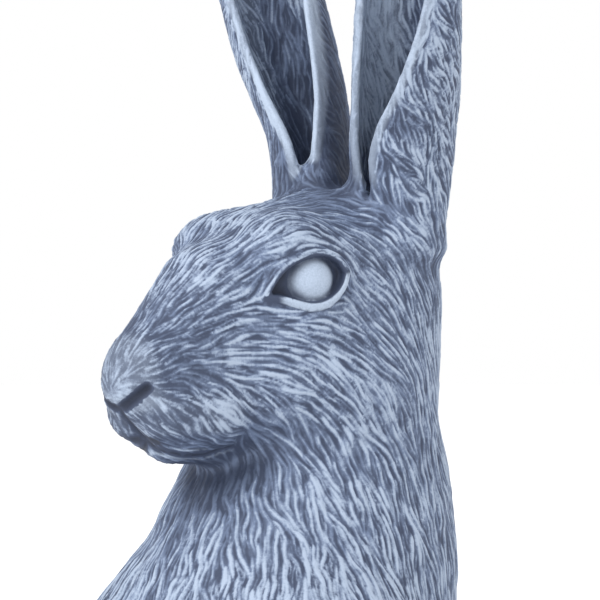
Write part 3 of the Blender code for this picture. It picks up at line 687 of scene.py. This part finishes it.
class Strokes:
    """The carver's strokes: where each starts, runs and ends, how broad and how high it is."""

    def __init__(self, mesh, sizes):
        dice = np.random.default_rng(sizes.seed)
        starts = self.scatter(mesh, sizes, dice)
        points, normals = onto_skin(starts, 2)
        small = np.arange(len(points)) > len(points) * SMALL_AFTER
        p = in_units(points)
        neck = smooth_step(58, 40, p[:, 2])
        nose = smooth_step(-24, -42, p[:, 1]) * smooth_step(30, 36, p[:, 2])
        _, _, inside, _ = ear_place(p)
        ears = on_ears(p)
        self.breadth = sizes.stroke_breadth * (1 + 0.22 * neck - 0.22 * nose - 0.12 * ears)
        length = sizes.stroke_length * (1 + 0.15 * neck - 0.45 * nose - 0.35 * ears + 0.25 * ears * inside)
        self.breadth *= np.where(small, SMALL_BREADTH, 1.0)
        length *= np.where(small, SMALL_LENGTH, 1.0)
        keep = self.thin_out(points, normals, self.breadth, length, small)
        points, normals, length = points[keep], normals[keep], length[keep]
        self.breadth = self.breadth[keep] * dice.uniform(0.8, 1.25, len(points))
        self.height = sizes.stroke_height * dice.uniform(0.7, 1.12, len(points))
        self.height *= 1 - 0.35 * nose[keep] - 0.15 * (ears * inside)[keep]
        self.height *= np.where(small[keep], SMALL_HEIGHT, 1.0)
        self.tint = dice.uniform(-1, 1, len(points))
        step = length * dice.uniform(0.75, 1.3, len(points)) / STROKE_STEPS
        self.path = self.trace(points, normals, step)

    def scatter(self, mesh, sizes, dice):
        """Many places spread evenly over the skin."""
        mesh.calc_loop_triangles()
        corners = np.empty(len(mesh.loop_triangles) * 3, np.int32)
        mesh.loop_triangles.foreach_get("vertices", corners)
        triangles = positions(mesh)[corners.reshape(-1, 3)]
        first, second = triangles[:, 1] - triangles[:, 0], triangles[:, 2] - triangles[:, 0]
        area = np.linalg.norm(np.cross(first, second), axis=1)
        chosen = dice.choice(len(area), sizes.tries, p=area / area.sum())
        a, b = np.sqrt(dice.uniform(size=sizes.tries)), dice.uniform(size=sizes.tries)
        weights = np.stack([1 - a, a * (1 - b), a * b], 1)
        points = (triangles[chosen] * weights[:, :, None]).sum(1)
        return points[(points[:, 2] > LOWEST_START) & (bare(points) < BAREST_START)]

    def thin_out(self, points, normals, breadth, length, small):
        """Keeps strokes that leave room for each other: close side by side, far apart end to end."""
        ways = flow(points, normals)
        kept, grid = [], {}
        keys = np.floor(points / CROWD_CELL).astype(int)
        for i, (x, y, z) in enumerate(keys.tolist()):
            crowded = False
            around = [j for dx in (-1, 0, 1) for dy in (-1, 0, 1) for dz in (-1, 0, 1)
                      for j in grid.get((x + dx, y + dy, z + dz), ())]
            if around:
                gap = points[around] - points[i]
                along = gap @ ways[i]
                across = np.sqrt(np.maximum((gap * gap).sum(1) - along * along, 0))
                facing = normals[around] @ normals[i] > SAME_FACING
                room = SMALL_ROOM_BESIDE if small[i] else ROOM_BESIDE
                reach = np.hypot(across / (breadth[i] * room), along / (length[i] * ROOM_ALONG))
                crowded = bool((facing & (reach < 1)).any())
            if not crowded:
                kept.append(i)
                grid.setdefault((x, y, z), []).append(i)
        return np.array(kept)

    def trace(self, points, normals, step):
        """Follows the flow from the middle of each stroke both ways."""
        halves = []
        for sign in (-1, 1):
            at, facing, rows = points, normals, [points]
            for _ in range(STROKE_STEPS // 2):
                at = at + flow(at, facing) * (step * sign)[:, None]
                at, facing = onto_skin(at, 1)
                rows.append(at)
            halves.append(rows)
        return np.stack(halves[0][::-1] + halves[1][1:], 1)

    def carve(self, points):
        """Relief at each point, 0 to 1 of a full stroke, and the tint of the stroke there."""
        tree = KDTree(len(points))
        for index, point in enumerate(points):
            tree.insert(point, index)
        tree.balance()
        steps = self.path.shape[1] - 1
        first, second = self.path[:, :-1].reshape(-1, 3), self.path[:, 1:].reshape(-1, 3)
        half = np.linalg.norm(second - first, axis=1) / 2
        broad = np.repeat(self.breadth, steps)
        reach = half + broad * 0.7
        found, source = [], []
        for index, (middle, distance) in enumerate(zip((first + second) / 2, reach)):
            near = [hit[1] for hit in tree.find_range(middle, distance)]
            found.extend(near)
            source.append(len(near))
        found = np.array(found)
        source = np.repeat(np.arange(len(source)), source)
        along = second[source] - first[source]
        gap = points[found] - first[source]
        t = np.clip((gap * along).sum(1) / np.maximum((along * along).sum(1), 1e-12), 0, 1)
        away = np.linalg.norm(gap - along * t[:, None], axis=1)
        stroke, piece = source // steps, source % steps
        u = (piece + t) / steps
        taper = smooth_step(0, 0.22, u) * smooth_step(1.0, 0.5, u) ** 0.8
        width = self.breadth[stroke] / 2 * (0.25 + 0.75 * taper) * 1.15
        ridge = np.maximum(1 - away / width, 0) ** 0.8
        rise = ridge * (0.15 + 0.85 * taper) * (self.height[stroke] / self.height.max())
        relief = np.zeros(len(points))
        np.maximum.at(relief, found, rise)
        winner = rise >= relief[found] - 1e-9
        tint = np.zeros(len(points))
        tint[found[winner]] = self.tint[stroke[winner]]
        calm = 1 - bare(points)
        return relief * calm, tint * calm


def occlusion(points, normals):
    """How closed in each place is: 0 in the open, 1 deep inside. The paint is darkened by it, partly as the
    wash pooled there, partly as painted shade.
    """
    closed = np.zeros(len(points))
    for reach, weight in OCCLUSION_REACHES:
        closed += weight * np.clip(1 - skin(points + normals * reach) / reach, 0, 1.5)
    p = in_units(points)
    deep, _, inside, _ = ear_place(p)
    in_ear = inside * on_ears(p)
    # Inside the ears most of the painted shade is taken off, less so deep in their hollows
    closed *= 1 - in_ear * (0.95 - 0.65 * deep)
    return np.clip(closed, 0, 1)


class Sock:
    """One output of a node, on which Python's own signs add Math nodes."""

    def __init__(self, graph, socket):
        self.graph = graph
        self.socket = socket

    def _math(self, kind, first, second=None):
        values = {0: first} if second is None else {0: first, 1: second}
        return self.graph.node("ShaderNodeMath", {"operation": kind}, values)

    def __add__(self, other):
        return self._math("ADD", self, other)

    def __radd__(self, other):
        return self._math("ADD", other, self)

    def __sub__(self, other):
        return self._math("SUBTRACT", self, other)

    def __rsub__(self, other):
        return self._math("SUBTRACT", other, self)

    def __mul__(self, other):
        return self._math("MULTIPLY", self, other)

    def __rmul__(self, other):
        return self._math("MULTIPLY", other, self)

    def clamp(self):
        """No less than 0 and no more than 1."""
        return self._math("MINIMUM", self._math("MAXIMUM", self, 0.0), 1.0)

    def between(self, low, high):
        """0 up to low, 1 from high, smooth between."""
        values = {0: self, 1: low, 2: high, 3: 0.0, 4: 1.0}
        return self.graph.node("ShaderNodeMapRange", {"interpolation_type": "SMOOTHSTEP"}, values)


class Graph:
    """A material's nodes."""

    def __init__(self, name):
        self.material = bpy.data.materials.new(name)
        self.material.use_nodes = True
        self.tree = self.material.node_tree
        self.shader = self.tree.nodes["Principled BSDF"]

    def node(self, kind, settings, values, output=0):
        """A node with its settings, then the values or links of its sockets."""
        made = self.tree.nodes.new(kind)
        for name, value in settings.items():
            setattr(made, name, value)
        for name, value in values.items():
            self.put(made.inputs[name], value)
        return Sock(self, made.outputs[output])

    def put(self, socket, value):
        if isinstance(value, Sock):
            self.tree.links.new(value.socket, socket)
        else:
            socket.default_value = value

    def finish(self, values):
        """Sets or links the shader's own sockets."""
        for name, value in values.items():
            self.put(self.shader.inputs[name], value)

    def attribute(self, name, output="Fac"):
        return self.node("ShaderNodeAttribute", {"attribute_name": name}, {}, output)

    def streaks(self, place, way, scale, length, steps):
        """Noise drawn out along the fur's way: the mean of one noise read at places in a row."""
        total = 0.0
        for step in range(steps):
            shift = length * ((step + 0.5) / steps - 0.5)
            moved = self.node("ShaderNodeVectorMath", {"operation": "MULTIPLY_ADD"},
                              {0: way, 1: (shift,) * 3, 2: place})
            total = self.noise(moved, scale, 1.0, 0.5) + total
        return total * (1 / steps)

    def noise(self, place, scale, detail=3.0, rough=0.5):
        values = {"Vector": place, "Scale": scale, "Detail": detail, "Roughness": rough}
        return self.node("ShaderNodeTexNoise", {}, values, "Fac")

    def mix(self, share, first, second):
        values = {"Factor": share, "A": first, "B": second}
        made = self.tree.nodes.new("ShaderNodeMix")
        made.data_type = "RGBA"
        for socket in made.inputs:
            if socket.enabled and socket.name in values:
                self.put(socket, values[socket.name])
        return Sock(self, next(s for s in made.outputs if s.enabled))


def washed_resin(colours):
    """Dark blue wash lying in the grooves, pale paint brushed dry over the ridges, and painted shade where
    the skin is closed in.
    """
    graph = Graph("washed_resin")
    place = graph.node("ShaderNodeTexCoord", {}, {}, "Object")
    crest = graph.attribute("crest")
    hollow = graph.attribute("hollow")
    tint = graph.attribute("tint")
    pale = graph.attribute("pale")
    way = graph.attribute("way", "Vector")
    hair = (graph.streaks(place, way, *FINE_HAIR, HAIR_READS) - 0.5) * HAIR_GAIN
    coarse_hair = (graph.streaks(place, way, *COARSE_HAIR, HAIR_READS) - 0.5) * HAIR_GAIN
    speck = graph.noise(place, SPECK_SCALE, 3, 0.6)
    cloud = graph.noise(place, CLOUD_SCALE, 3, 0.55)
    blotch = graph.noise(place, BLOTCH_SCALE, 3, 0.6)
    calm = 1 - pale.clamp() * 0.8
    hairs = (hair * 0.35 + coarse_hair * 0.45) * calm
    # Where the skin is closed in (hollow) the wash is darker and the dry brush is held off: partly the wash
    # pooled there, partly painted shade
    shade = (crest + hairs * 0.5 + tint * 0.08 + (blotch - 0.5) * 0.35 - hollow * 0.25).clamp()
    body = graph.mix(shade.between(0.08, 0.6), (*colours.deep, 1), (*colours.wash, 1))
    brush = crest + hairs + (speck - 0.5) * 0.3 + (blotch - 0.5) * 0.5 + (cloud - 0.5) * 0.4 + tint * 0.1
    brush = (brush - hollow * 0.9 + pale.clamp() * 0.6).between(0.3, 0.84)
    painted = graph.mix(brush * 0.8, body, (*colours.brushed, 1))
    solid = pale.between(0.15, 0.95) * (0.9 + (speck - 0.5) * 0.6)
    painted = graph.mix(solid, painted, (*colours.brushed, 1))
    # Near-black where pale is below 0: the wash at the bottom of the folds, mouth and eye ring, made darker
    # as painted shade
    painted = graph.mix((0 - pale).clamp() * 0.9, painted, (*colours.groove, 1))
    # Painted shade: the deep wash colour laid over closed-in places
    shadow = graph.mix(hollow.between(0.3, 1.0) * 0.75, painted, (*colours.deep, 1))
    rough = 0.72 - brush * 0.14 + (speck - 0.5) * 0.1
    relief = speck * 0.4 + blotch * 0.5 + hairs * 1.2
    grain = graph.node("ShaderNodeBump", {}, {"Strength": 0.25, "Distance": 0.0001, "Height": relief})
    graph.finish({"Base Color": shadow, "Roughness": rough, "Normal": grain, "Specular IOR Level": 0.35})
    return graph.material


def with_modifiers(mesh, *settings):
    """The mesh after the given modifiers, as a plain mesh. A tree's inputs go by their identifiers."""
    helper = bpy.data.objects.new("helper", mesh)
    bpy.context.scene.collection.objects.link(helper)
    for kind, values, *inputs in settings:
        modifier = helper.modifiers.new(kind.lower(), kind)
        for name, value in values.items():
            setattr(modifier, name, value)
        for identifier, value in inputs:
            modifier[identifier] = value
    graph = bpy.context.evaluated_depsgraph_get()
    made = bpy.data.meshes.new_from_object(helper.evaluated_get(graph))
    bpy.data.objects.remove(helper)
    return made


def relief_tree():
    """Nodes that raise the strokes along the skin's normals and lay the finish on."""
    tree = bpy.data.node_groups.new("fur_relief", "GeometryNodeTree")
    sockets = {}
    for name, kind in (("Skin", "NodeSocketGeometry"), ("Ridge height", "NodeSocketFloat"),
                       ("Bed depth", "NodeSocketFloat"), ("Finish", "NodeSocketMaterial")):
        sockets[name] = tree.interface.new_socket(name, in_out="INPUT", socket_type=kind).identifier
    tree.interface.new_socket("Carved", in_out="OUTPUT", socket_type="NodeSocketGeometry")

    def node(kind, settings, links):
        made = tree.nodes.new(kind)
        for name, value in settings.items():
            setattr(made, name, value)
        for name, value in links.items():
            if isinstance(value, bpy.types.NodeSocket):
                tree.links.new(value, made.inputs[name])
            else:
                made.inputs[name].default_value = value
        return made.outputs

    def read(name, kind="FLOAT"):
        return node("GeometryNodeInputNamedAttribute", {"data_type": kind}, {"Name": name})["Attribute"]

    def maths(operation, first, second):
        return node("ShaderNodeMath", {"operation": operation}, {0: first, 1: second})[0]

    given = node("NodeGroupInput", {}, {})
    raised = maths("MULTIPLY", read("crest"), given["Ridge height"])
    sunk = maths("MULTIPLY", read("furred"), given["Bed depth"])
    lift = maths("SUBTRACT", raised, sunk)
    outward = read("outward", "FLOAT_VECTOR")
    offset = node("ShaderNodeVectorMath", {"operation": "SCALE"}, {0: outward, "Scale": lift})[0]
    moved = node("GeometryNodeSetPosition", {}, {"Geometry": given["Skin"], "Offset": offset})[0]
    real = node("GeometryNodeRealizeInstances", {}, {"Geometry": moved})[0]
    finished = node("GeometryNodeSetMaterial", {}, {"Geometry": real, "Material": given["Finish"]})[0]
    node("NodeGroupOutput", {}, {"Carved": finished})
    return tree, sockets


def with_relief(mesh, height, depth, finish):
    """The skin with its strokes raised, as a plain mesh."""
    tree, sockets = relief_tree()
    inputs = (("Ridge height", height), ("Bed depth", depth), ("Finish", finish))
    inputs = [(sockets[name], value) for name, value in inputs]
    return with_modifiers(mesh, ("NODES", {"node_group": tree}, *inputs))


def grid_of(*rows):
    """Every place whose coordinates are one from each row."""
    return np.stack(np.meshgrid(*rows, indexing="ij"), -1).reshape(-1, 3)


def form_grid(sizes):
    """Places of a grid near the skin, as whole steps, and the distance to the skin at each."""
    step, low, high = sizes.grid_step * 2 ** GRID_HALVINGS, *GRID_BOX
    counts = [np.arange(math.floor(a / step), math.ceil(b / step) + 1) for a, b in zip(low, high)]
    places, around = grid_of(*counts), grid_of(*[(-1, 0, 1)] * 3)
    for _ in range(GRID_HALVINGS):
        near = np.abs(skin(places * step)) < step * GRID_REACH
        places = np.unique((places[near, None] * 2 + around).reshape(-1, 3), axis=0)
        step /= 2
    return places, skin(places * step)


def form_mesh(sizes):
    """The skin as quads: one vertex in every cell of the grid that the skin crosses."""
    places, distance = form_grid(sizes)
    base = places.min(0) - 1
    places = places - base
    spread = places.max(0) + 2
    weight = np.array([spread[1] * spread[2], spread[2], 1])
    keys = places @ weight
    order = np.argsort(keys)
    keys, places, distance = keys[order], places[order], distance[order]

    def find(wanted):
        at = np.minimum(np.searchsorted(keys, wanted), len(keys) - 1)
        return np.where(keys[at] == wanted, at, -1)

    corners = grid_of(*[(0, 1)] * 3)
    found = find(keys[:, None] + corners @ weight)
    whole = (found >= 0).all(1)
    values = distance[found]
    crossed = whole & ((values < 0).any(1) & (values >= 0).any(1))
    cells, values = np.flatnonzero(crossed), values[crossed]
    total, hits = np.zeros((len(cells), 3)), np.zeros(len(cells))
    pairs = [(a, b) for a in range(len(corners)) for b in range(a + 1, len(corners))]
    edges = [(a, b) for a, b in pairs if (corners[a] != corners[b]).sum() == 1]
    for a, b in edges:
        turns = (values[:, a] < 0) != (values[:, b] < 0)
        share = values[:, a] / np.where(turns, values[:, a] - values[:, b], 1)
        total += (corners[a] + (corners[b] - corners[a]) * share[:, None]) * turns[:, None]
        hits += turns
    number = np.full(len(keys), -1)
    number[cells] = np.arange(len(cells))
    quads = []
    for axis in range(3):
        beyond = find(keys + weight[axis])
        turns = (beyond >= 0) & ((distance < 0) != (distance[beyond] < 0))
        one, two = weight[(axis + 1) % 3], weight[(axis + 2) % 3]
        ring = np.stack([find(keys[turns] - shift) for shift in (0, one, one + two, two)], 1)
        ring = np.where(ring >= 0, number[ring], -1)
        outward = (distance[turns] < 0)[:, None]
        ring = np.where(outward, ring, ring[:, ::-1])
        quads.append(ring[(ring >= 0).all(1)])
    return (places[cells] + base + total / hits[:, None]) * sizes.grid_step, np.concatenate(quads)


def settle(mesh):
    """Draws a mesh's vertices onto the skin."""
    points, _ = onto_skin(positions(mesh), 1)
    place(mesh, points)


def fine_skin(sizes):
    """The carved form's surface as an even, fine mesh."""
    points, quads = form_mesh(sizes)
    mesh = bpy.data.meshes.new("skin")
    mesh.from_pydata(points, [], quads.tolist())
    remesh = ("REMESH", {"mode": "VOXEL", "voxel_size": sizes.fine_voxel})
    ease = ("SMOOTH", {"factor": 0.5, "iterations": 2})
    settle(mesh)
    mesh = with_modifiers(mesh, remesh, ease)
    settle(mesh)
    return with_modifiers(mesh, remesh, ease)


def set_attribute(mesh, name, values, kind="FLOAT"):
    """Keeps a number or a vector with every vertex."""
    layer = mesh.attributes.new(name, kind, "POINT")
    slot = "value" if kind == "FLOAT" else "vector"
    layer.data.foreach_set(slot, values.astype(np.float32).ravel())


class RabbitSizes(bpy.types.PropertyGroup):
    """Sizes of the fur's strokes and of the mesh that carries them."""

    seed: IntProperty(name="Seed", description="Which strokes the carver made", default=7)
    tries: IntProperty(name="Tries", description="Places tried for a stroke", default=110000)
    stroke_breadth: FloatProperty(
        name="Stroke breadth", description="Across one stroke", default=0.00095, unit="LENGTH")
    stroke_length: FloatProperty(
        name="Stroke length", description="Along one stroke", default=0.0105, unit="LENGTH")
    stroke_height: FloatProperty(
        name="Stroke height", description="How far a ridge stands up", default=0.00042, unit="LENGTH")
    bed_depth: FloatProperty(
        name="Bed depth", description="How far the fur's bed lies below the skin",
        default=0.00019, unit="LENGTH")
    grid_step: FloatProperty(
        name="Grid step", description="Between the places where the skin is first looked for",
        default=0.0007, unit="LENGTH")
    fine_voxel: FloatProperty(
        name="Fine voxel", description="Across one cell of the fine skin", default=0.00034, unit="LENGTH")
    triangles: IntProperty(name="Triangles", description="Faces of the finished piece", default=196000)


class RabbitColours(bpy.types.PropertyGroup):
    """Colours of the wash and of the paint over it."""

    # Near-black in the nostrils and mouth and round the eyes: the wash, darkened further as painted shade
    # where the carved slots are shallow
    groove: FloatVectorProperty(
        name="Groove", description="Colour in the nostrils and mouth and round the eyes",
        subtype="COLOR", default=(0.014, 0.019, 0.036))
    # The deep wash is also the colour of the painted shade in closed-in places
    deep: FloatVectorProperty(
        name="Deep wash", description="Colour in the grooves",
        subtype="COLOR", default=(0.036, 0.049, 0.088))
    wash: FloatVectorProperty(
        name="Wash", description="Colour of the sides of the strokes",
        subtype="COLOR", default=(0.122, 0.162, 0.255))
    brushed: FloatVectorProperty(
        name="Brushed", description="Pale paint on the ridges",
        subtype="COLOR", default=(0.36, 0.43, 0.54))


class RABBIT_OT_carve(bpy.types.Operator):
    """Carves the fur and paints the rabbit"""

    bl_idname = "rabbit.carve"
    bl_label = "Carve the rabbit"

    def execute(self, context):
        sizes, colours = context.scene.rabbit_sizes, context.scene.rabbit_colours
        mesh = fine_skin(sizes)
        strokes = Strokes(mesh, sizes)
        points = positions(mesh)
        points[:, 2] = np.where(points[:, 2] < FOOT_REACH, 0.0, points[:, 2])
        place(mesh, points)
        _, normals = onto_skin(points, 1)
        relief, tint = strokes.carve(points)
        set_attribute(mesh, "crest", relief)
        set_attribute(mesh, "tint", tint)
        set_attribute(mesh, "furred", 1 - bare(points))
        set_attribute(mesh, "outward", normals, "FLOAT_VECTOR")
        mesh = with_relief(mesh, sizes.stroke_height, sizes.bed_depth, washed_resin(colours))
        triangles = sum(len(face.vertices) - 2 for face in mesh.polygons)
        mesh = with_modifiers(mesh, ("DECIMATE", {"ratio": min(1.0, sizes.triangles / triangles)}))
        base, normals = onto_skin(positions(mesh), 1)
        # How closed in each place is, by which the paint is darkened: partly pooled wash, partly painted
        # shade
        set_attribute(mesh, "hollow", occlusion(base + normals * OCCLUSION_START, normals))
        set_attribute(mesh, "pale", paleness(base))
        set_attribute(mesh, "way", flow(base, normals), "FLOAT_VECTOR")
        mesh.shade_smooth()
        piece = bpy.data.objects.new("carved_rabbit", mesh)
        context.scene.collection.objects.link(piece)
        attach(piece, "root")
        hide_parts("rabbit")
        return {"FINISHED"}


class RABBIT_OT_stage(bpy.types.Operator):
    """Sets up the floor, the lights and the camera"""

    bl_idname = "rabbit.stage"
    bl_label = "Set the stage"

    def execute(self, context):
        scene = context.scene
        azimuth, elevation = math.radians(CAMERA_AZIMUTH), math.radians(CAMERA_ELEVATION)
        right = Vector((math.cos(azimuth), math.sin(azimuth), 0))
        centre = right * (VIEW_ASIDE * PIXEL) + Vector((0, MIDDLE_AHEAD, VIEW_HEIGHT * PIXEL))
        back = Vector((math.sin(azimuth) * math.cos(elevation), -math.cos(azimuth) * math.cos(elevation),
                       math.sin(elevation)))
        camera = bpy.data.cameras.new("camera")
        camera.sensor_width = SENSOR_WIDTH
        camera.lens = SENSOR_WIDTH / 2 * CAMERA_DISTANCE / (HALF_FRAME * PIXEL)
        camera.clip_start, camera.clip_end = NEAREST_SEEN, FURTHEST_SEEN
        holder = bpy.data.objects.new("camera", camera)
        holder.location = centre + back * CAMERA_DISTANCE
        holder.rotation_mode = "QUATERNION"
        holder.rotation_quaternion = (-back).to_track_quat("-Z", "Y")
        scene.collection.objects.link(holder)
        scene.camera = holder
        floor_mesh = bpy.data.meshes.new("floor")
        corners = [(x * FLOOR_REACH, y * FLOOR_REACH, -FLOOR_DROP)
                   for x, y in ((-1, -1), (1, -1), (1, 1), (-1, 1))]
        floor_mesh.from_pydata(corners, [], [(0, 1, 2, 3)])
        paper = Graph("pale_floor")
        paper.finish({"Base Color": (0.88, 0.88, 0.88, 1), "Roughness": 0.9,
                      "Emission Color": (1, 1, 1, 1), "Emission Strength": 0.2})
        floor_mesh.materials.append(paper.material)
        floor = bpy.data.objects.new("floor", floor_mesh)
        scene.collection.objects.link(floor)
        world = bpy.data.worlds.new("studio")
        world.use_nodes = True
        light = world.node_tree.nodes["Background"].inputs
        light["Color"].default_value, light["Strength"].default_value = (1, 1, 1, 1), 1.0
        scene.world = world
        for name, turn, height, away, size, energy in LAMPS:
            lamp = bpy.data.lights.new(name, "AREA")
            lamp.energy, lamp.size = energy, size
            holder = bpy.data.objects.new(name, lamp)
            a = azimuth + math.radians(turn)
            holder.location = centre + Vector((math.sin(a) * away, -math.cos(a) * away, height))
            holder.rotation_mode = "QUATERNION"
            holder.rotation_quaternion = (holder.location - centre).to_track_quat("Z", "Y")
            scene.collection.objects.link(holder)
        scene.view_settings.view_transform = "Standard"
        return {"FINISHED"}


class RABBIT_PT_panel(bpy.types.Panel):
    """The rabbit's sizes and colours, and the buttons that make it"""

    bl_idname = "RABBIT_PT_panel"
    bl_label = "Resin rabbit"
    bl_space_type = "VIEW_3D"
    bl_region_type = "UI"
    bl_category = "Rabbit"

    def draw(self, context):
        layout = self.layout
        for group in (context.scene.rabbit_sizes, context.scene.rabbit_colours):
            for name in group.__annotations__:
                layout.prop(group, name)
        layout.operator(RABBIT_OT_carve.bl_idname)
        layout.operator(RABBIT_OT_stage.bl_idname)


CLASSES = (RabbitSizes, RabbitColours, RABBIT_OT_carve, RABBIT_OT_stage, RABBIT_PT_panel)


def register():
    """Adds the add-on's classes to Blender."""
    for item in CLASSES:
        bpy.utils.register_class(item)
    bpy.types.Scene.rabbit_sizes = PointerProperty(type=RabbitSizes)
    bpy.types.Scene.rabbit_colours = PointerProperty(type=RabbitColours)


def unregister():
    """Takes them out again."""
    del bpy.types.Scene.rabbit_colours
    del bpy.types.Scene.rabbit_sizes
    for item in reversed(CLASSES):
        bpy.utils.unregister_class(item)


def main():
    """Makes the rabbit and its stage."""
    register()
    bpy.ops.rabbit.carve()
    bpy.ops.rabbit.stage()


if __name__ == "__main__":
    main()
